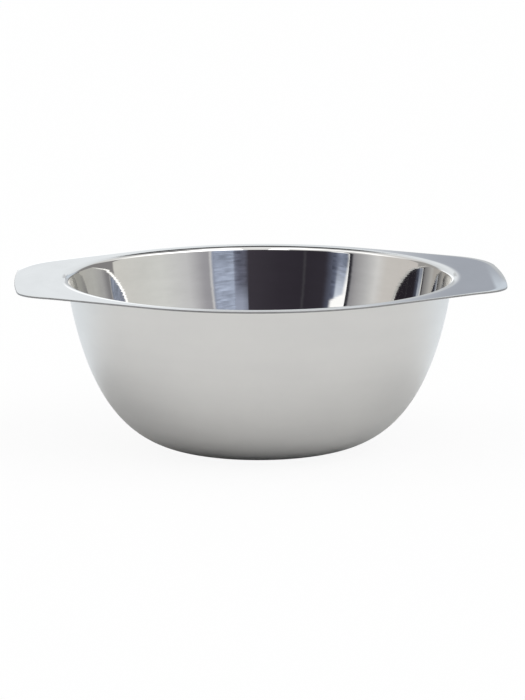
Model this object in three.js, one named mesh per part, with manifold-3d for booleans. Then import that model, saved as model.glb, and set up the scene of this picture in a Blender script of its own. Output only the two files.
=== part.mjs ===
// Soup bowl of stainless steel sheet: a flat base, a curved wall that opens to a flat rim, and
// two lugs that carry the rim on, to hold it by.
// Millimetres, +Z up, X through the lugs. The origin is the middle of the base's underside.

import * as THREE from 'three';
import { mergeVertices } from 'three/addons/utils/BufferGeometryUtils.js';
import Module from 'manifold-3d';

const { degToRad } = THREE.MathUtils;

// Driving dimensions
const SHEET = 0.6; // thickness of the steel
const BOWL_HEIGHT = 62.5; // surface it stands on to the top of the rim
const BASE_RADIUS = 24; // flat of the base
const BASE_RUN = 25.4; // how far the wall's curve carries on along the base
const WALL_TOP_RADIUS = 70.2; // outside of the wall where it reaches the bend
const WALL_DRAFT = degToRad(8.7); // outward lean of the wall there
const WALL_RUN = 40.8; // how far the wall's curve carries on down from there
const BEND_RADIUS = 1.5; // upper side of the tight bend between wall and rim
const EASE_RADIUS = 20; // upper side of the gentle curve from the bend out to the flat
const EASE_ANGLE = degToRad(8); // slope of the rim where the gentle curve meets the bend
const RIM_WIDTH = 2.8; // flat of the rim, in front and behind
const LUG_LENGTH = 12.8; // lug beyond the rim's edge
const LUG_FALL = 0.7; // tip of the lug below the rim
const LUG_SIDE_ANGLE = degToRad(33); // side of a lug to X
const LUG_CORNER_RADIUS = 21.5;
const LUG_TIP_RADIUS = 280; // slight bulge of the lug's end

// Steps along the curves
const ROUND_STEPS = 72;
const WALL_STEPS = 10;
const BEND_STEPS = 4;
const EASE_STEPS = 3;
const CORNER_STEPS = 8;

// Places that follow from the driving dimensions
const RIM_UNDERSIDE = BOWL_HEIGHT - SHEET;
const BEND_UNDERSIDE_RADIUS = BEND_RADIUS - SHEET;
const EASE_UNDERSIDE_RADIUS = EASE_RADIUS - SHEET;
const EASE_LEVEL = BOWL_HEIGHT - EASE_RADIUS;
const BEND_LEVEL = EASE_LEVEL + (EASE_RADIUS - BEND_RADIUS) * Math.cos(EASE_ANGLE);
const BEND_CENTRE_RADIUS = WALL_TOP_RADIUS + BEND_UNDERSIDE_RADIUS * Math.cos(WALL_DRAFT);
const EASE_CENTRE_RADIUS = BEND_CENTRE_RADIUS + (EASE_RADIUS - BEND_RADIUS) * Math.sin(EASE_ANGLE);
const RIM_RADIUS = EASE_CENTRE_RADIUS + RIM_WIDTH;
const LUG_REACH = RIM_RADIUS + LUG_LENGTH;
// The drawn bowl and the plate of the rim share the ring between these two radii
const PLATE_HOLE_RADIUS = EASE_CENTRE_RADIUS + RIM_WIDTH / 3;
const DRAWN_RIM_RADIUS = EASE_CENTRE_RADIUS + RIM_WIDTH * 2 / 3;

const polished = { color: 0xc9c9c6, roughness: 0.22, metalness: 1 };

const wasm = await Module();
wasm.setup();

// A closed three.js geometry as a solid that can be joined and cut
function toSolid(geometry) {
  const bare = geometry.clone();
  bare.deleteAttribute('normal');
  bare.deleteAttribute('uv');
  const merged = mergeVertices(bare, 1e-4);
  const index = merged.index.array;
  const triangles = [];
  for (let i = 0; i < index.length; i += 3) {
    const [a, b, c] = index.slice(i, i + 3);
    if (a !== b && b !== c && c !== a) triangles.push(a, b, c);
  }
  return new wasm.Manifold(new wasm.Mesh({
    numProp: 3,
    vertProperties: new Float32Array(merged.attributes.position.array),
    triVerts: new Uint32Array(triangles),
  }));
}

function toGeometry(solid) {
  const mesh = solid.getMesh();
  const geometry = new THREE.BufferGeometry();
  geometry.setAttribute('position', new THREE.BufferAttribute(mesh.vertProperties, mesh.numProp));
  geometry.setIndex(new THREE.BufferAttribute(mesh.triVerts, 1));
  geometry.computeVertexNormals();
  return geometry;
}

// Points on an arc of the profile, from one angle to another
function arcPoints(centreX, centreY, radius, from, to, steps) {
  const points = [];
  for (let i = 0; i <= steps; i++) {
    const angle = THREE.MathUtils.lerp(from, to, i / steps);
    points.push(new THREE.Vector2(centreX + radius * Math.cos(angle), centreY + radius * Math.sin(angle)));
  }
  return points;
}

// The wall's outside, from the edge of the flat base up to the bend
function wallCurve() {
  const foot = new THREE.Vector2(BASE_RADIUS, 0);
  const lean = new THREE.Vector2(Math.sin(WALL_DRAFT), Math.cos(WALL_DRAFT));
  const topLevel = BEND_LEVEL + BEND_UNDERSIDE_RADIUS * Math.sin(WALL_DRAFT);
  const top = new THREE.Vector2(WALL_TOP_RADIUS, topLevel);
  return new THREE.CubicBezierCurve(
    foot,
    foot.clone().add(new THREE.Vector2(BASE_RUN, 0)),
    top.clone().addScaledVector(lean, -WALL_RUN),
    top,
  );
}

// One side of the sheet round the bend and the gentle curve, from the wall out to the flat of the rim
function bendPoints(bendRadius, easeRadius) {
  const wallSide = Math.PI - WALL_DRAFT;
  const flat = Math.PI / 2;
  const meeting = flat + EASE_ANGLE;
  return [
    ...arcPoints(BEND_CENTRE_RADIUS, BEND_LEVEL, bendRadius, wallSide, meeting, BEND_STEPS),
    ...arcPoints(EASE_CENTRE_RADIUS, EASE_LEVEL, easeRadius, meeting, flat, EASE_STEPS).slice(1),
  ];
}

// Radius and height round the whole section of the sheet, from the axis out to the rim and back inside
function bowlProfile() {
  const wall = wallCurve();
  const outside = [];
  const inside = [];
  for (let i = 0; i <= WALL_STEPS; i++) {
    const along = i / WALL_STEPS;
    const point = wall.getPoint(along);
    const tangent = wall.getTangent(along);
    const inward = new THREE.Vector2(-tangent.y, tangent.x);
    outside.push(point);
    inside.push(point.clone().addScaledVector(inward, SHEET));
  }
  return [
    new THREE.Vector2(0, 0),
    ...outside,
    ...bendPoints(BEND_UNDERSIDE_RADIUS, EASE_UNDERSIDE_RADIUS).slice(1),
    new THREE.Vector2(DRAWN_RIM_RADIUS, RIM_UNDERSIDE),
    new THREE.Vector2(DRAWN_RIM_RADIUS, BOWL_HEIGHT),
    ...bendPoints(BEND_RADIUS, EASE_RADIUS).reverse(),
    ...inside.reverse().slice(1),
    new THREE.Vector2(0, SHEET),
  ];
}

// The right lug's rounded corner, and half its width where it begins, at the rim's furthest point
function lugCorner() {
  const outward = new THREE.Vector2(Math.sin(LUG_SIDE_ANGLE), Math.cos(LUG_SIDE_ANGLE));
  const along = new THREE.Vector2(outward.y, -outward.x);
  const tipCentre = new THREE.Vector2(LUG_REACH - LUG_TIP_RADIUS, 0);
  // The corner's centre lies on a line inside the side, and its arc touches the tip's arc from within
  const start = outward.clone().multiplyScalar(RIM_RADIUS - LUG_CORNER_RADIUS);
  const fromTip = start.clone().sub(tipCentre);
  const half = fromTip.dot(along);
  const rest = fromTip.lengthSq() - (LUG_TIP_RADIUS - LUG_CORNER_RADIUS) ** 2;
  const centre = start.clone().addScaledVector(along, -half + Math.sqrt(half ** 2 - rest));
  return {
    centre,
    tipCentre,
    sideAngle: outward.angle(),
    tipAngle: centre.clone().sub(tipCentre).angle(),
    rootHalfWidth: RIM_RADIUS * (1 - outward.x) / outward.y,
  };
}

// A flat plate of the sheet at rim level
function rimPlate(shape) {
  const geometry = new THREE.ExtrudeGeometry(shape, {
    depth: SHEET,
    bevelEnabled: false,
    curveSegments: ROUND_STEPS / 2,
  });
  return geometry.translate(0, 0, RIM_UNDERSIDE);
}

// The bowl with its round rim and the shoulders that widen into the lugs
function bowlShell() {
  const { sideAngle, rootHalfWidth } = lugCorner();
  const drawn = new THREE.LatheGeometry(bowlProfile(), ROUND_STEPS).rotateX(Math.PI / 2);
  const outline = new THREE.Shape();
  outline.moveTo(RIM_RADIUS, -rootHalfWidth);
  outline.lineTo(RIM_RADIUS, rootHalfWidth);
  outline.absarc(0, 0, RIM_RADIUS, sideAngle, Math.PI - sideAngle);
  outline.lineTo(-RIM_RADIUS, rootHalfWidth);
  outline.lineTo(-RIM_RADIUS, -rootHalfWidth);
  outline.absarc(0, 0, RIM_RADIUS, Math.PI + sideAngle, 2 * Math.PI - sideAngle);
  outline.closePath();
  const mouth = new THREE.Path();
  mouth.absarc(0, 0, PLATE_HOLE_RADIUS, 0, 2 * Math.PI);
  outline.holes.push(mouth);
  return toGeometry(toSolid(drawn).add(toSolid(rimPlate(outline))));
}

// One lug, from its straight root down to its rounded end; side is 1 on the right and -1 on the left
function lug(side) {
  const { centre, tipCentre, sideAngle, tipAngle, rootHalfWidth } = lugCorner();
  const corner = arcPoints(centre.x, centre.y, LUG_CORNER_RADIUS, sideAngle, tipAngle, CORNER_STEPS);
  const tip = arcPoints(tipCentre.x, tipCentre.y, LUG_TIP_RADIUS, tipAngle, 0, CORNER_STEPS).slice(1);
  const upper = [new THREE.Vector2(RIM_RADIUS, rootHalfWidth), ...corner, ...tip];
  const lower = upper.slice(0, -1).reverse().map((point) => new THREE.Vector2(point.x, -point.y));
  const points = [...upper, ...lower].map((point) => new THREE.Vector2(side * point.x, point.y));
  const slope = LUG_FALL / LUG_LENGTH;
  const falling = new THREE.Matrix4().makeShear(0, -side * slope, 0, 0, 0, 0);
  return rimPlate(new THREE.Shape(points)).applyMatrix4(falling).translate(0, 0, slope * RIM_RADIUS);
}

function piece(name, geometry) {
  const mesh = new THREE.Mesh(geometry, new THREE.MeshStandardMaterial(polished));
  mesh.name = name;
  return mesh;
}

const bowl = new THREE.Group();
bowl.add(
  piece('bowl_shell', bowlShell()),
  piece('left_lug', lug(-1)),
  piece('right_lug', lug(1)),
);

export default bowl;
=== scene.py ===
import math
from functools import partial

import bmesh
import bpy
from mathutils import Matrix, Vector


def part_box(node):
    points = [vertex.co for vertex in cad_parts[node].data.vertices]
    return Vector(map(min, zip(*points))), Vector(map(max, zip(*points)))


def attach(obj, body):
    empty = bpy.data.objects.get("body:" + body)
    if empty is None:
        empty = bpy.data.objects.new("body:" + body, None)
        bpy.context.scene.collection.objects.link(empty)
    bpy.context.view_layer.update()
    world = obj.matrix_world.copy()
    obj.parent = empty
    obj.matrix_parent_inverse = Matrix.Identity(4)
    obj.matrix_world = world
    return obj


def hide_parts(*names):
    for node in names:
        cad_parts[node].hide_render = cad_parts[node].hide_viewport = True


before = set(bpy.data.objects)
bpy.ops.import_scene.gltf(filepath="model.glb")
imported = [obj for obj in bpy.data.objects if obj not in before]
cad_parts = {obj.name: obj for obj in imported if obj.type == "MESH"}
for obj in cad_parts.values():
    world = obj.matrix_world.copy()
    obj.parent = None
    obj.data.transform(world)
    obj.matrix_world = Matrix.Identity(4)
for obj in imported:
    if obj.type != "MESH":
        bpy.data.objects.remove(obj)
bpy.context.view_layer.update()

# The bowl, its rim and its lugs
# One blank of stainless sheet is drawn into the bowl, its rim is bent flat and trimmed to an
# outline with two lugs. Polishing on a turning wheel leaves fine lines that run round the bowl.


def feed(tree, socket, value):
    """Gives a node's input a plain value, or links another node's output to it."""
    if isinstance(value, bpy.types.NodeSocket):
        tree.links.new(value, socket)
    else:
        socket.default_value = value


def arithmetic(tree, operation, *values):
    """One step of arithmetic in a node tree, on numbers or on the sockets of other nodes."""
    node = tree.nodes.new("ShaderNodeMath")
    node.operation = operation
    for socket, value in zip(node.inputs, values):
        feed(tree, socket, value)
    return node.outputs[0]


def product(tree, first, *others):
    """Numbers or sockets multiplied with each other."""
    result = first
    for factor in others:
        result = arithmetic(tree, "MULTIPLY", result, factor)
    return result


def squares(tree, x, y):
    """The squares of two numbers or sockets, added up."""
    return arithmetic(tree, "ADD", product(tree, x, x), product(tree, y, y))


def split_vector(tree, vector):
    """The X, Y and Z of a vector."""
    node = tree.nodes.new("ShaderNodeSeparateXYZ")
    tree.links.new(vector, node.inputs[0])
    return node.outputs


def joined_vector(tree, x, y, z=0.0):
    """A vector put together from numbers or sockets."""
    node = tree.nodes.new("ShaderNodeCombineXYZ")
    for socket, value in zip(node.inputs, (x, y, z)):
        feed(tree, socket, value)
    return node.outputs[0]


def noise(tree, place, scale, detail, roughness):
    """Noise from 0 to 1 over a place."""
    node = tree.nodes.new("ShaderNodeTexNoise")
    node.inputs["Scale"].default_value = scale
    node.inputs["Detail"].default_value = detail
    node.inputs["Roughness"].default_value = roughness
    tree.links.new(place, node.inputs["Vector"])
    return node.outputs["Fac"]


def remapped(tree, value, old_span, new_span, smooth=False):
    """A value carried from one span to another, and held at its ends."""
    node = tree.nodes.new("ShaderNodeMapRange")
    node.interpolation_type = "SMOOTHSTEP" if smooth else "LINEAR"
    for socket, end in zip(node.inputs[1:5], (*old_span, *new_span)):
        feed(tree, socket, end)
    tree.links.new(value, node.inputs["Value"])
    return node.outputs["Result"]


def rising(tree, value, span, smooth=False):
    """A share that goes from 0 at a span's start to 1 at its end."""
    return remapped(tree, value, span, (0.0, 1.0), smooth)


def falling(tree, value, span, smooth=False):
    """A share that goes from 1 at a span's start to 0 at its end."""
    return remapped(tree, value, span, (1.0, 0.0), smooth)


def mixed_colour(tree, share, under, over):
    """Two colours, each three numbers or a socket, mixed by the share of the second."""
    node = tree.nodes.new("ShaderNodeMix")
    node.data_type = "RGBA"
    tree.links.new(share, node.inputs["Factor"])
    for name, colour in (("A", under), ("B", over)):
        feed(tree, node.inputs[name], (*colour, 1.0) if isinstance(colour, tuple) else colour)
    return node.outputs["Result"]


def polish_lines_group():
    """Lines that run round the bowl's axis, wider streaks, and the cloudy patches of handling."""
    tree = bpy.data.node_groups.new("Polish lines", "ShaderNodeTree")
    for name in ("Spacing", "Reach"):
        tree.interface.new_socket(name, in_out="INPUT", socket_type="NodeSocketFloat")
    for name in ("Height", "Streaks", "Clouds"):
        tree.interface.new_socket(name, in_out="OUTPUT", socket_type="NodeSocketFloat")
    given = tree.nodes.new("NodeGroupInput").outputs
    result = tree.nodes.new("NodeGroupOutput").inputs
    place = tree.nodes.new("ShaderNodeTexCoord").outputs["Object"]
    x, y, z = split_vector(tree, place)
    nearest_axis = 1e-5
    radius = arithmetic(tree, "SQRT", squares(tree, x, y))
    radius = arithmetic(tree, "MAXIMUM", radius, nearest_axis)
    round_x = product(tree, arithmetic(tree, "DIVIDE", x, radius), given["Reach"])
    round_y = product(tree, arithmetic(tree, "DIVIDE", y, radius), given["Reach"])
    up_the_wall = arithmetic(tree, "DIVIDE", arithmetic(tree, "ADD", radius, z), given["Spacing"])
    wide_share = 0.12
    fine_place = joined_vector(tree, round_x, round_y, up_the_wall)
    wide_place = joined_vector(tree, round_x, round_y, product(tree, up_the_wall, wide_share))
    patterns = {
        "Height": noise(tree, fine_place, scale=1.0, detail=1.0, roughness=0.5),
        "Streaks": noise(tree, wide_place, scale=1.0, detail=3.0, roughness=0.55),
        "Clouds": noise(tree, place, scale=38.0, detail=4.0, roughness=0.6),
    }
    for name, pattern in patterns.items():
        tree.links.new(pattern, result[name])
    return tree


polish_lines = polish_lines_group()


def steel(name, tone, smudged_tone, gloss, line_spacing, line_reach, line_depth, lined_to,
          anisotropy):
    """Polished stainless steel: gloss is its least and greatest roughness, and its lines end at
    the level lined_to."""
    material = bpy.data.materials.new(name)
    material.use_nodes = True
    tree = material.node_tree
    shader = tree.nodes["Principled BSDF"]
    shader.inputs["Metallic"].default_value = 1.0
    shader.inputs["Anisotropic"].default_value = anisotropy
    tangent = tree.nodes.new("ShaderNodeTangent")
    tangent.direction_type = "RADIAL"
    tangent.axis = "Z"
    tree.links.new(tangent.outputs[0], shader.inputs["Tangent"])
    lines = tree.nodes.new("ShaderNodeGroup")
    lines.node_tree = polish_lines
    lines.inputs["Spacing"].default_value = line_spacing
    lines.inputs["Reach"].default_value = line_reach
    cloud_span = (0.35, 0.7)
    streak_span = (0.3, 0.7)
    cloudy = rising(tree, lines.outputs["Clouds"], cloud_span)
    streaked = rising(tree, lines.outputs["Streaks"], streak_span)
    worn = arithmetic(tree, "DIVIDE", arithmetic(tree, "ADD", cloudy, streaked), 2.0)
    colour = mixed_colour(tree, worn, tone, smudged_tone)
    tree.links.new(colour, shader.inputs["Base Color"])
    tree.links.new(remapped(tree, worn, (0.0, 1.0), gloss), shader.inputs["Roughness"])
    bump = tree.nodes.new("ShaderNodeBump")
    bump.inputs["Distance"].default_value = line_depth
    tree.links.new(lines.outputs["Height"], bump.inputs["Height"])
    level = split_vector(tree, tree.nodes.new("ShaderNodeTexCoord").outputs["Object"])["Z"]
    fade = 0.001
    lined = falling(tree, level, (lined_to - fade, lined_to))
    tree.links.new(lined, bump.inputs["Strength"])
    tree.links.new(bump.outputs[0], shader.inputs["Normal"])
    return material


def lit_when_deep(material, light):
    """Light for rays round the inside, which rendering ends after their fourth mirroring."""
    tree = material.node_tree
    shader = tree.nodes["Principled BSDF"]
    shader.inputs["Emission Color"].default_value = (*light, 1.0)
    ray_depth = tree.nodes.new("ShaderNodeLightPath").outputs["Ray Depth"]
    last_mirroring = 3.5
    deep = arithmetic(tree, "GREATER_THAN", ray_depth, last_mirroring)
    tree.links.new(deep, shader.inputs["Emission Strength"])


bright_tone = (0.68, 0.675, 0.66)
bright_inside = steel(
    "bright_inside", tone=bright_tone, smudged_tone=(0.60, 0.595, 0.58), gloss=(0.02, 0.05),
    line_spacing=0.0006, line_reach=4.0, line_depth=0.0000015, lined_to=0.0605, anisotropy=0.0,
)
lit_when_deep(bright_inside, light=bright_tone)
satin_outside = steel(
    "satin_outside", tone=(0.65, 0.645, 0.625), smudged_tone=(0.62, 0.615, 0.60),
    gloss=(0.285, 0.33), line_spacing=0.0012, line_reach=1.0, line_depth=0.000006, lined_to=0.07,
    anisotropy=0.3,
)
sheared_edge = steel(
    "sheared_edge", tone=(0.30, 0.30, 0.30), smudged_tone=(0.22, 0.22, 0.22), gloss=(0.30, 0.45),
    line_spacing=0.00012, line_reach=60.0, line_depth=0.000004, lined_to=0.07, anisotropy=0.0,
)

shell_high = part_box("bowl_shell")[1]
lug_low, lug_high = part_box("right_lug")
rim_level = shell_high[2]
rim_radius = shell_high[1]
lug_reach = lug_high[0]
sheet = 0.0006
lug_fall = lug_high[2] - lug_low[2] - sheet
base_radius = 0.024
base_run = 0.0254
wall_top_radius = 0.0702
wall_draft = math.radians(8.7)
wall_run = 0.0408
bend_radius = 0.0015
ease_radius = 0.020
ease_angle = math.radians(8)
edge_round = 0.00012
lug_side_angle = math.radians(33)
lug_corner_radius = 0.0215
lug_tip_radius = 0.280
quarter = math.pi / 2


def lug_corner():
    """A lug's rounded corner, between its straight side and its slightly bulged end: its centre,
    and the angles from the axis at which it meets the two."""
    outward = Vector((math.sin(lug_side_angle), math.cos(lug_side_angle)))
    along = Vector((outward.y, -outward.x))
    tip_centre = Vector((lug_reach - lug_tip_radius, 0.0))
    start = outward * (rim_radius - lug_corner_radius)
    from_tip = start - tip_centre
    half = from_tip.dot(along)
    rest = from_tip.length_squared - (lug_tip_radius - lug_corner_radius) ** 2
    centre = start + along * (-half + math.sqrt(half ** 2 - rest))
    side_touch = centre + outward * lug_corner_radius
    tip_touch = centre + (centre - tip_centre).normalized() * lug_corner_radius
    return centre, math.atan2(side_touch.y, side_touch.x), math.atan2(tip_touch.y, tip_touch.x)


def lug_outline(tree, given, x, y, radius):
    """Distance from the axis to the outline of the rim and the lugs, in each direction."""
    number = partial(arithmetic, tree)
    toward_lug = number("DIVIDE", number("ABSOLUTE", x), radius)
    toward_front = number("DIVIDE", number("ABSOLUTE", y), radius)
    angle = number("ARCTAN2", toward_front, toward_lug)

    def to_round(centre_x, centre_y, round_radius):
        along = number("ADD", product(tree, toward_lug, centre_x),
                       product(tree, toward_front, centre_y))
        offset = squares(tree, centre_x, centre_y)
        inside = number("SUBTRACT", product(tree, round_radius, round_radius), offset)
        inside = number("ADD", inside, product(tree, along, along))
        return number("ADD", along, number("SQRT", number("MAXIMUM", inside, 0.0)))

    turn = number("MAXIMUM", number("SUBTRACT", given["Side turn"], angle), 0.0)
    to_side = number("DIVIDE", given["Rim radius"], number("COSINE", turn))
    to_corner = to_round(given["Corner X"], given["Corner Y"], given["Corner radius"])
    to_tip = to_round(given["Tip centre"], 0.0, given["Tip radius"])
    at_tip = number("LESS_THAN", angle, given["Corner from"])
    past_corner = number("GREATER_THAN", angle, given["Corner to"])
    at_corner = number("SUBTRACT", number("SUBTRACT", 1.0, at_tip), past_corner)
    outline = number("ADD", product(tree, to_tip, at_tip), product(tree, to_corner, at_corner))
    return number("ADD", outline, product(tree, to_side, past_corner))


def pressed_sheet_tree():
    """The sheet's section swept round the axis, its rim drawn out to the outline of the lugs."""
    tree = bpy.data.node_groups.new("Pressed sheet", "GeometryNodeTree")
    sizes = (
        "Rim level", "Sheet", "Base radius", "Base run", "Wall top radius", "Wall draft",
        "Wall run", "Bend radius", "Ease radius", "Ease angle", "Rim radius", "Edge round",
        "Side turn", "Corner radius", "Corner X", "Corner Y", "Corner from", "Corner to",
        "Tip radius", "Tip centre", "Lug fall",
    )
    for name in sizes:
        tree.interface.new_socket(name, in_out="INPUT", socket_type="NodeSocketFloat")
    tree.interface.new_socket("Columns", in_out="INPUT", socket_type="NodeSocketInt")
    for name in ("Inside", "Outside", "Edge"):
        tree.interface.new_socket(name, in_out="INPUT", socket_type="NodeSocketMaterial")
    tree.interface.new_socket("Sheet", in_out="OUTPUT", socket_type="NodeSocketGeometry")
    given = tree.nodes.new("NodeGroupInput").outputs
    result = tree.nodes.new("NodeGroupOutput").inputs
    number = partial(arithmetic, tree)
    point = partial(joined_vector, tree)
    axis_ring = 0.001

    def line(start, end, count):
        straight = tree.nodes.new("GeometryNodeCurvePrimitiveLine")
        tree.links.new(start, straight.inputs["Start"])
        tree.links.new(end, straight.inputs["End"])
        spaced = tree.nodes.new("GeometryNodeResampleCurve")
        spaced.inputs["Count"].default_value = count
        tree.links.new(straight.outputs[0], spaced.inputs["Curve"])
        return spaced.outputs[0]

    def arc(centre, radius, start, sweep, count):
        curve = tree.nodes.new("GeometryNodeCurveArc")
        curve.inputs["Resolution"].default_value = count
        for name, value in (("Radius", radius), ("Start Angle", start), ("Sweep Angle", sweep)):
            feed(tree, curve.inputs[name], value)
        placed = tree.nodes.new("GeometryNodeTransform")
        tree.links.new(curve.outputs[0], placed.inputs["Geometry"])
        tree.links.new(centre, placed.inputs["Translation"])
        return placed.outputs[0]

    def swept(curves, material):
        section = tree.nodes.new("GeometryNodeJoinGeometry")
        for curve in curves:
            tree.links.new(curve, section.inputs[0])
        # The sweep carries a section's x outwards and its y downwards
        turned = tree.nodes.new("GeometryNodeTransform")
        turned.inputs["Translation"].default_value = (-axis_ring, 0.0, 0.0)
        turned.inputs["Scale"].default_value = (1.0, -1.0, 1.0)
        tree.links.new(section.outputs[0], turned.inputs["Geometry"])
        ring = tree.nodes.new("GeometryNodeCurvePrimitiveCircle")
        ring.inputs["Radius"].default_value = axis_ring
        tree.links.new(given["Columns"], ring.inputs["Resolution"])
        sweep = tree.nodes.new("GeometryNodeCurveToMesh")
        tree.links.new(ring.outputs[0], sweep.inputs["Curve"])
        tree.links.new(turned.outputs[0], sweep.inputs["Profile Curve"])
        finish = tree.nodes.new("GeometryNodeSetMaterial")
        tree.links.new(sweep.outputs[0], finish.inputs["Geometry"])
        tree.links.new(given[material], finish.inputs["Material"])
        return finish.outputs[0]

    # Places that follow from the sizes
    bend_under = number("SUBTRACT", given["Bend radius"], given["Sheet"])
    ease_under = number("SUBTRACT", given["Ease radius"], given["Sheet"])
    ease_level = number("SUBTRACT", given["Rim level"], given["Ease radius"])
    ease_span = number("SUBTRACT", given["Ease radius"], given["Bend radius"])
    ease_rise = product(tree, ease_span, number("COSINE", given["Ease angle"]))
    ease_reach = product(tree, ease_span, number("SINE", given["Ease angle"]))
    bend_level = number("ADD", ease_level, ease_rise)
    rim_underside = number("SUBTRACT", given["Rim level"], given["Sheet"])
    draft_sine = number("SINE", given["Wall draft"])
    draft_cosine = number("COSINE", given["Wall draft"])
    bend_edge = number("ADD", given["Wall top radius"], product(tree, bend_under, draft_cosine))
    ease_edge = number("ADD", bend_edge, ease_reach)
    wall_top_level = number("ADD", bend_level, product(tree, bend_under, draft_sine))
    rim_flat_end = number("SUBTRACT", given["Rim radius"], given["Edge round"])
    bend_centre = point(bend_edge, bend_level)
    ease_centre = point(ease_edge, ease_level)
    bend_start = number("SUBTRACT", math.pi, given["Wall draft"])
    ease_start = number("ADD", quarter, given["Ease angle"])
    bend_sweep = number("SUBTRACT", ease_start, bend_start)
    ease_sweep = number("SUBTRACT", quarter, ease_start)
    edge_low = number("ADD", rim_underside, given["Edge round"])
    edge_high = number("SUBTRACT", given["Rim level"], given["Edge round"])

    # Outside, from the middle of the base up to the underside of the rim
    base = line(point(0.0, 0.0), point(given["Base radius"], 0.0), count=12)
    wall = tree.nodes.new("GeometryNodeCurvePrimitiveBezierSegment")
    wall.inputs["Resolution"].default_value = 56
    run_down = product(tree, given["Wall run"], draft_cosine)
    run_in = product(tree, given["Wall run"], draft_sine)
    wall_points = {
        "Start": point(given["Base radius"], 0.0),
        "Start Handle": point(number("ADD", given["Base radius"], given["Base run"]), 0.0),
        "End Handle": point(number("SUBTRACT", given["Wall top radius"], run_in),
                            number("SUBTRACT", wall_top_level, run_down)),
        "End": point(given["Wall top radius"], wall_top_level),
    }
    for name, place in wall_points.items():
        tree.links.new(place, wall.inputs[name])
    bend_below = arc(bend_centre, bend_under, bend_start, bend_sweep, count=14)
    ease_below = arc(ease_centre, ease_under, ease_start, ease_sweep, count=8)
    rim_below = line(point(ease_edge, rim_underside), point(rim_flat_end, rim_underside), count=8)

    # Inside, the same wall set in by the sheet's thickness
    wall_steps = tree.nodes.new("GeometryNodeResampleCurve")
    wall_steps.mode = "EVALUATED"
    tree.links.new(wall.outputs[0], wall_steps.inputs["Curve"])
    across = tree.nodes.new("ShaderNodeVectorMath")
    across.operation = "CROSS_PRODUCT"
    across.inputs[0].default_value = (0.0, 0.0, 1.0)
    tree.links.new(tree.nodes.new("GeometryNodeInputTangent").outputs[0], across.inputs[1])
    inward = tree.nodes.new("ShaderNodeVectorMath")
    inward.operation = "SCALE"
    tree.links.new(across.outputs[0], inward.inputs[0])
    tree.links.new(given["Sheet"], inward.inputs["Scale"])
    wall_inside = tree.nodes.new("GeometryNodeSetPosition")
    tree.links.new(wall_steps.outputs[0], wall_inside.inputs["Geometry"])
    tree.links.new(inward.outputs[0], wall_inside.inputs["Offset"])
    base_inside = line(point(0.0, given["Sheet"]), point(given["Base radius"], given["Sheet"]),
                       count=12)
    bend_above = arc(bend_centre, given["Bend radius"], bend_start, bend_sweep, count=18)
    ease_above = arc(ease_centre, given["Ease radius"], ease_start, ease_sweep, count=10)
    rim_above = line(point(ease_edge, given["Rim level"]), point(rim_flat_end, given["Rim level"]),
                     count=8)

    # The sheared edge, broken above and below
    break_below = arc(point(rim_flat_end, edge_low), given["Edge round"], -quarter, quarter,
                      count=6)
    break_above = arc(point(rim_flat_end, edge_high), given["Edge round"], 0.0, quarter, count=6)
    edge_face = line(point(given["Rim radius"], edge_low), point(given["Rim radius"], edge_high),
                     count=3)

    whole = tree.nodes.new("GeometryNodeJoinGeometry")
    for zone in (
        swept((base, wall.outputs[0], bend_below, ease_below, rim_below), "Outside"),
        swept((break_below, edge_face, break_above), "Edge"),
        swept((rim_above, ease_above, bend_above, wall_inside.outputs[0], base_inside), "Inside"),
    ):
        tree.links.new(zone, whole.inputs[0])
    weld_distance = 0.00003
    welded = tree.nodes.new("GeometryNodeMergeByDistance")
    welded.inputs["Distance"].default_value = weld_distance
    tree.links.new(whole.outputs[0], welded.inputs["Geometry"])

    # The rim is drawn out to the outline, and the lugs fall a little towards their tips
    x, y, z = split_vector(tree, tree.nodes.new("GeometryNodeInputPosition").outputs[0])
    radius = number("MAXIMUM", number("SQRT", squares(tree, x, y)), axis_ring)
    beyond_rim = number("SUBTRACT", lug_outline(tree, given, x, y, radius), given["Rim radius"])
    growth = product(tree, rising(tree, radius, (ease_edge, rim_flat_end)), beyond_rim)
    scale = number("DIVIDE", number("ADD", radius, growth), radius)
    out_x = product(tree, x, scale)
    out_y = product(tree, y, scale)
    lug_tip = number("ADD", given["Tip centre"], given["Tip radius"])
    along_lug = rising(tree, number("ABSOLUTE", out_x), (ease_edge, lug_tip))
    fall = product(tree, given["Lug fall"], product(tree, along_lug, along_lug))
    trimmed = tree.nodes.new("GeometryNodeSetPosition")
    tree.links.new(welded.outputs[0], trimmed.inputs["Geometry"])
    tree.links.new(point(out_x, out_y, number("SUBTRACT", z, fall)), trimmed.inputs["Position"])
    smooth = tree.nodes.new("GeometryNodeSetShadeSmooth")
    tree.links.new(trimmed.outputs[0], smooth.inputs["Geometry"])
    real = tree.nodes.new("GeometryNodeRealizeInstances")
    tree.links.new(smooth.outputs[0], real.inputs["Geometry"])
    tree.links.new(real.outputs[0], result[0])
    return tree


def plain_mesh(name, tree, inputs):
    """An object with the mesh that a tree makes from these inputs, with no modifier left on it."""
    piece = bpy.data.objects.new(name, bpy.data.meshes.new(name))
    bpy.context.collection.objects.link(piece)
    modifier = piece.modifiers.new(name, "NODES")
    modifier.node_group = tree
    for socket in tree.interface.items_tree:
        if socket.in_out == "INPUT":
            modifier[socket.identifier] = inputs[socket.name]
    view = bpy.context.evaluated_depsgraph_get()
    mesh = bpy.data.meshes.new_from_object(piece.evaluated_get(view))
    piece.modifiers.remove(modifier)
    piece.data = mesh
    shape = bmesh.new()
    shape.from_mesh(mesh)
    bmesh.ops.recalc_face_normals(shape, faces=shape.faces)
    shape.to_mesh(mesh)
    shape.free()
    return piece


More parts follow.
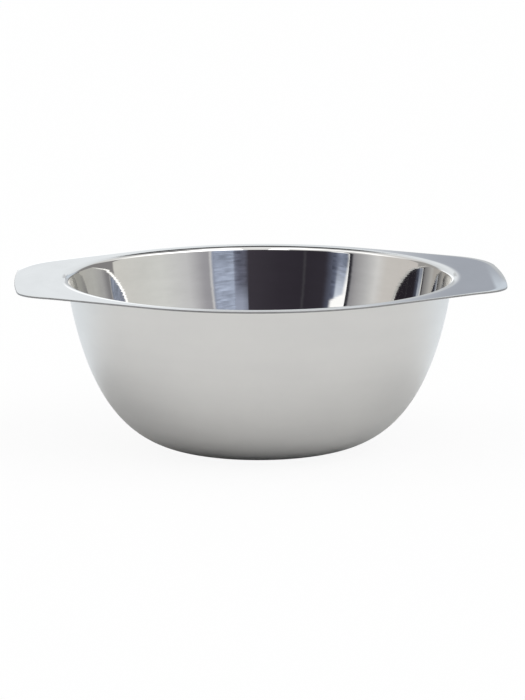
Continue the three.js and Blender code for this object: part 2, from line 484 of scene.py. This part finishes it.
corner_centre, corner_to, corner_from = lug_corner()
bowl = plain_mesh("bowl", pressed_sheet_tree(), {
    "Rim level": rim_level, "Sheet": sheet, "Base radius": base_radius, "Base run": base_run,
    "Wall top radius": wall_top_radius, "Wall draft": wall_draft, "Wall run": wall_run,
    "Bend radius": bend_radius, "Ease radius": ease_radius, "Ease angle": ease_angle,
    "Rim radius": rim_radius, "Edge round": edge_round,
    "Side turn": quarter - lug_side_angle, "Corner radius": lug_corner_radius,
    "Corner X": corner_centre.x, "Corner Y": corner_centre.y, "Corner from": corner_from,
    "Corner to": corner_to, "Tip radius": lug_tip_radius,
    "Tip centre": lug_reach - lug_tip_radius, "Lug fall": lug_fall,
    "Columns": 360, "Inside": bright_inside, "Outside": satin_outside, "Edge": sheared_edge,
})
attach(bowl, "root")
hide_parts("bowl_shell", "left_lug", "right_lug")

# The table top
# A plain white matt board that the bowl stands on. It runs on past the picture on every side,
# and it takes the bowl's soft shadow.

floor_radius = 8.0
floor_colour = (0.75, 0.75, 0.75)
floor_shape = bmesh.new()
bmesh.ops.create_circle(floor_shape, cap_ends=True, segments=64, radius=floor_radius)
floor_mesh = bpy.data.meshes.new("table_top")
floor_shape.to_mesh(floor_mesh)
floor_shape.free()
floor = bpy.data.objects.new("table_top", floor_mesh)
bpy.context.collection.objects.link(floor)


def white_board():
    """Matt board, which the camera sees as paper white, and the steel too behind the bowl."""
    material = bpy.data.materials.new("white_board")
    material.use_nodes = True
    tree = material.node_tree
    board = tree.nodes["Principled BSDF"]
    board.inputs["Base Color"].default_value = (*floor_colour, 1.0)
    board.inputs["Roughness"].default_value = 0.9
    board.inputs["Specular IOR Level"].default_value = 0.1
    seen = tree.nodes.new("ShaderNodeLightPath").outputs
    place = split_vector(tree, tree.nodes.new("ShaderNodeTexCoord").outputs["Object"])
    from_axis = arithmetic(tree, "SQRT", squares(tree, place["X"], place["Y"]))
    rear_span = (-0.02, 0.12)
    rear_share = 0.9
    clear_of_bowl = (0.075, 0.125)
    behind = product(tree, remapped(tree, place["Y"], rear_span, (0.0, rear_share), smooth=True),
                     rising(tree, from_axis, clear_of_bowl, smooth=True))
    mirrored = product(tree, seen["Is Glossy Ray"], behind)
    camera_share = 0.92
    share = arithmetic(tree, "MULTIPLY_ADD", seen["Is Camera Ray"], camera_share, mirrored)
    mirrored_paper = (1.02, 1.08, 1.14)
    plain_paper = (1.0, 1.0, 1.0)
    tint = mixed_colour(tree, seen["Is Camera Ray"], mirrored_paper, plain_paper)
    paper = tree.nodes.new("ShaderNodeEmission")
    tree.links.new(tint, paper.inputs["Color"])
    mixed = tree.nodes.new("ShaderNodeMixShader")
    for socket, part in zip(mixed.inputs, (share, board.outputs[0], paper.outputs[0])):
        tree.links.new(part, socket)
    tree.links.new(mixed.outputs[0], tree.nodes["Material Output"].inputs["Surface"])
    return material


floor_mesh.materials.append(white_board())

# The studio light
# A large soft light hangs overhead. Round the table stand pale screens with dark gaps between
# them, which the polished steel shows as upright bands. The camera itself sees plain white.

front_light = (3.0, 3.0, 3.0)
front_left_light = (1.0, 1.0, 1.0)
rear_light = (0.95, 0.95, 0.95)
strip_light = (1.15, 1.15, 1.15)
behind_low = (1.32, 1.35, 1.38)
behind_left = (0.96, 1.0, 1.035)
behind_right = (0.44, 0.47, 0.53)
behind_low_right = (0.62, 0.645, 0.67)
behind_front_edge = (0.68, 0.70, 0.72)
behind_far_right = (0.70, 0.77, 0.85)
behind_gap = (0.02, 0.02, 0.024)
behind_gap_top = (0.5, 0.51, 0.52)
lit_edge_light = (0.48, 0.53, 0.68)
lamp_light = (1.5, 1.5, 1.5)
glow_light = (0.86, 0.93, 1.06)
plain_white = (1.0, 1.0, 1.0)
# Compass angle from the camera's side, to the right, and the light of the screens there
screens = (
    (-116.2, (0.48, 0.47, 0.46)),
    (-115.8, (0.81, 0.77, 0.74)),
    (-88, (0.82, 0.79, 0.76)),
    (-81, (0.90, 0.895, 0.89)),
    (-73.6, (0.67, 0.67, 0.68)),
    (-66, (0.48, 0.475, 0.49)),
    (-62.7, (0.36, 0.355, 0.38)),
    (-62.5, (0.05, 0.05, 0.06)),
    (-60.4, (0.05, 0.05, 0.06)),
    (-60.2, (0.36, 0.41, 0.54)),
    (-54.5, (0.40, 0.45, 0.60)),
    (-51, (0.16, 0.18, 0.255)),
    (-44.5, (0.046, 0.041, 0.054)),
    (-31.1, (0.041, 0.036, 0.048)),
    (-30.6, (0.14, 0.14, 0.15)),
    (-30.1, (0.041, 0.036, 0.048)),
    (-16, (0.046, 0.040, 0.053)),
    (4.4, (0.063, 0.056, 0.071)),
    (6.5, (0.145, 0.15, 0.20)),
    (10.5, (0.17, 0.18, 0.245)),
    (12.8, (0.25, 0.27, 0.36)),
    (13.8, (0.53, 0.60, 0.77)),
    (25.0, (0.53, 0.60, 0.77)),
    (27.3, (0.38, 0.42, 0.53)),
    (27.5, (0.84, 0.84, 0.86)),
    (28.2, (0.84, 0.84, 0.86)),
    (28.4, (0.46, 0.455, 0.49)),
    (33, (0.49, 0.485, 0.52)),
    (43.5, (0.79, 0.79, 0.81)),
    (62, (0.93, 0.94, 0.92)),
    (98.9, (0.87, 0.86, 0.82)),
    (99.1, (0.33, 0.32, 0.325)),
)


def within(tree, value, span):
    """1 where a value lies in a span, and 0 elsewhere."""
    low, high = span
    return arithmetic(tree, "COMPARE", value, (low + high) / 2, (high - low) / 2)


def slanted(tree, value, line):
    """A straight line's slope times a value, and its foot added."""
    slope, foot = line
    return arithmetic(tree, "MULTIPLY_ADD", value, slope, foot)


def light_of_screens(tree, turn, height):
    """The screens hang in folds that run across them, which show on the two blue ones."""
    full_turn = 360.0
    belt = tree.nodes.new("ShaderNodeValToRGB")
    stops = belt.color_ramp.elements
    for compass, _ in screens[1:-1]:
        stops.new(compass / full_turn + 0.5)
    for stop, (compass, light) in zip(stops, screens):
        stop.position = compass / full_turn + 0.5
        stop.color = (*light, 1.0)
    folds_per_turn = 0.06
    folds_per_height = 1.3
    fold_place = joined_vector(tree, product(tree, turn, folds_per_turn),
                               product(tree, height, folds_per_height))
    folds = noise(tree, fold_place, scale=1.3, detail=2.0, roughness=0.6)
    fold_span = (0.3, 0.7)
    fold_sway = 0.3
    sway = remapped(tree, folds, fold_span, (-fold_sway, fold_sway))
    hung = arithmetic(tree, "ADD", turn, sway)
    tree.links.new(rising(tree, hung, (-full_turn / 2, full_turn / 2)), belt.inputs[0])
    fold_depth = 0.4
    low_heights = (9.0, 12.5)
    low_dimming = 0.15
    depth = arithmetic(tree, "ADD", remapped(tree, folds, fold_span, (-fold_depth, fold_depth)),
                       remapped(tree, height, low_heights, (-low_dimming, 0.0)))
    right_turns = (5.5, 26.3)
    left_turns = (-60.0, -49.0)
    on_blue = arithmetic(tree, "ADD", within(tree, turn, right_turns),
                         within(tree, turn, left_turns))
    folded = tree.nodes.new("ShaderNodeVectorMath")
    folded.operation = "SCALE"
    tree.links.new(belt.outputs[0], folded.inputs[0])
    tree.links.new(arithmetic(tree, "MULTIPLY_ADD", depth, on_blue, 1.0), folded.inputs["Scale"])
    return folded.outputs[0]


def light_on_blue(tree, turn, height, around):
    """The right blue screen's edge is lit higher up. The left one glows there, and a lamp shows
    above a slanting edge before it."""
    edge_turns = (5.0, 13.4)
    edge_side = (5.0, 9.0)
    edge_side_share = 0.55
    edge_heights = (15.0, 20.5)
    edge_share = 0.9
    lit_edge = product(tree, within(tree, turn, edge_turns),
                       remapped(tree, height, edge_heights, (0.0, edge_share)),
                       remapped(tree, turn, edge_side, (edge_side_share, 1.0)))
    around = mixed_colour(tree, lit_edge, around, lit_edge_light)
    glow_turns = (-60.3, -51.3)
    glow_side = (-53.5, -51.5)
    glow_heights = (8.5, 15.5)
    glow = product(tree, falling(tree, turn, glow_side, smooth=True),
                   rising(tree, height, glow_heights), within(tree, turn, glow_turns))
    around = mixed_colour(tree, glow, around, glow_light)
    lamp_turns = (-60.3, -44.3)
    lamp_side = (0.27, -61.5)
    lamp_foot = (3.0, -102.0)
    lamp_end = -49.5
    lamp_blur = (-1.0, 2.0)
    edge = arithmetic(tree, "MAXIMUM", slanted(tree, height, lamp_side),
                      slanted(tree, height, lamp_foot))
    edge = arithmetic(tree, "MINIMUM", edge, lamp_end)
    past_edge = rising(tree, arithmetic(tree, "SUBTRACT", edge, turn), lamp_blur, smooth=True)
    lamp = product(tree, past_edge, within(tree, turn, lamp_turns))
    return mixed_colour(tree, lamp, around, lamp_light)


def light_behind(tree, x, height):
    """Behind the bowl it is pale on the left, greyer on the right and brightest low down."""
    grey_side = (0.050, 0.092)
    screen_top = (11.0, 13.0)
    greyer = product(tree, rising(tree, x, grey_side, smooth=True),
                     falling(tree, height, screen_top))
    rear = mixed_colour(tree, greyer, behind_left, behind_right)
    edge_start = (0.022, 0.038)
    edge_end = (0.056, 0.068)
    edge_heights = (9.5, 10.7)
    front_edge = product(tree, rising(tree, x, edge_start, smooth=True),
                         falling(tree, x, edge_end, smooth=True),
                         within(tree, height, edge_heights))
    rear = mixed_colour(tree, front_edge, rear, behind_front_edge)
    low_side = (0.018, 0.042)
    low_heights = (7.2, 8.4)
    low = mixed_colour(tree, rising(tree, x, low_side, smooth=True), behind_low, behind_low_right)
    rear = mixed_colour(tree, falling(tree, height, low_heights, smooth=True), rear, low)
    far_side = (0.115, 0.119)
    far_slope = 35.0
    far_foot = (12.55, 12.8)
    far_right = product(tree, rising(tree, x, far_side, smooth=True),
                        rising(tree, slanted(tree, x, (far_slope, height)), far_foot),
                        falling(tree, height, screen_top))
    return mixed_colour(tree, far_right, rear, behind_far_right)


def light_overhead(tree, x, y, turn, height):
    """The overhead light is brightest in front, weaker on the left there and along a strip."""
    front_to_rear = (-0.6, 0.6)
    overhead = mixed_colour(tree, rising(tree, y, front_to_rear, smooth=True),
                            front_light, rear_light)
    weak_turns = (-87.0, -23.0)
    weak_heights = (55.0, 70.0)
    front_left = product(tree, within(tree, turn, weak_turns), falling(tree, height, weak_heights))
    overhead = mixed_colour(tree, front_left, overhead, front_left_light)
    strip_sides = (-0.12, 0.12)
    return mixed_colour(tree, within(tree, x, strip_sides), overhead, strip_light)


def light_with_gap(tree, x, y, height, light):
    """A dark gap is left behind, with a slanting foot on either side and a paler top."""
    right_foot = ((300.0, 3.0), (106.0, 14.0))
    left_foot = ((-600.0, 43.0), (-127.0, 24.4))
    right, left = (
        arithmetic(tree, "MINIMUM", slanted(tree, x, steep), slanted(tree, x, gentle))
        for steep, gentle in (right_foot, left_foot)
    )
    foot = arithmetic(tree, "MAXIMUM", right, left)
    foot_blur = (-0.8, 0.6)
    top_sides = (0.24, 0.30)
    top_heights = (56.0, 86.0)
    top_blur = (-2.0, 2.0)
    rear_side = (0.0, 0.1)
    top = remapped(tree, x, top_sides, top_heights)
    above_foot = arithmetic(tree, "SUBTRACT", height, foot)
    below_top = arithmetic(tree, "SUBTRACT", top, height)
    gap = product(tree, rising(tree, above_foot, foot_blur, smooth=True),
                  rising(tree, below_top, top_blur, smooth=True), rising(tree, y, rear_side))
    pale_heights = (25.0, 32.0)
    pale_sides = (0.26, 0.32)
    paler = product(tree, rising(tree, height, pale_heights), falling(tree, x, pale_sides))
    dark = mixed_colour(tree, paler, behind_gap, behind_gap_top)
    return mixed_colour(tree, gap, light, dark)


def studio():
    """The light that comes from each direction round the bowl, with its turn to the right of the
    camera's side and its height above the table in degrees."""
    world = bpy.data.worlds.new("studio")
    world.use_nodes = True
    tree = world.node_tree
    x, y, z = split_vector(tree, tree.nodes.new("ShaderNodeTexCoord").outputs["Generated"])
    turn = arithmetic(tree, "ARCTAN2", x, product(tree, y, -1.0))
    turn = arithmetic(tree, "DEGREES", turn)
    height = arithmetic(tree, "DEGREES", arithmetic(tree, "ARCSINE", z))
    around = light_on_blue(tree, turn, height, light_of_screens(tree, turn, height))
    rear_turns = (140.0, 150.0)
    at_rear = rising(tree, arithmetic(tree, "ABSOLUTE", turn), rear_turns)
    around = mixed_colour(tree, at_rear, around, light_behind(tree, x, height))
    overhead_heights = (28.0, 36.0)
    high = rising(tree, height, overhead_heights, smooth=True)
    light = mixed_colour(tree, high, around, light_overhead(tree, x, y, turn, height))
    light = light_with_gap(tree, x, y, height, light)
    seen = tree.nodes.new("ShaderNodeLightPath").outputs["Is Camera Ray"]
    shown = mixed_colour(tree, seen, light, plain_white)
    tree.links.new(shown, tree.nodes["Background"].inputs["Color"])
    return world


bpy.context.scene.world = studio()
bpy.context.scene.view_settings.view_transform = "Standard"

# The camera
# A long lens a little above the rim, turned a touch to the left of the bowl's front.

view_distance = 1.6
view_elevation = math.radians(10.28)
view_azimuth = math.radians(-2.66)
view_roll = math.radians(-0.25)
view_aim = Vector((0.00095, 0.0, 0.03523))
picture_height = 0.25594
sensor = 36.0
back = Vector((math.sin(view_azimuth) * math.cos(view_elevation),
               -math.cos(view_azimuth) * math.cos(view_elevation), math.sin(view_elevation)))
level = Vector((math.cos(view_azimuth), math.sin(view_azimuth), 0.0))
upright = Matrix((level, back.cross(level), back)).transposed()
turned = upright @ Matrix.Rotation(view_roll, 3, "Z")
camera_data = bpy.data.cameras.new("camera")
camera_data.sensor_width = sensor
camera_data.lens = sensor * view_distance / picture_height
camera = bpy.data.objects.new("camera", camera_data)
camera.matrix_world = Matrix.Translation(view_aim + back * view_distance) @ turned.to_4x4()
bpy.context.collection.objects.link(camera)
bpy.context.scene.camera = camera
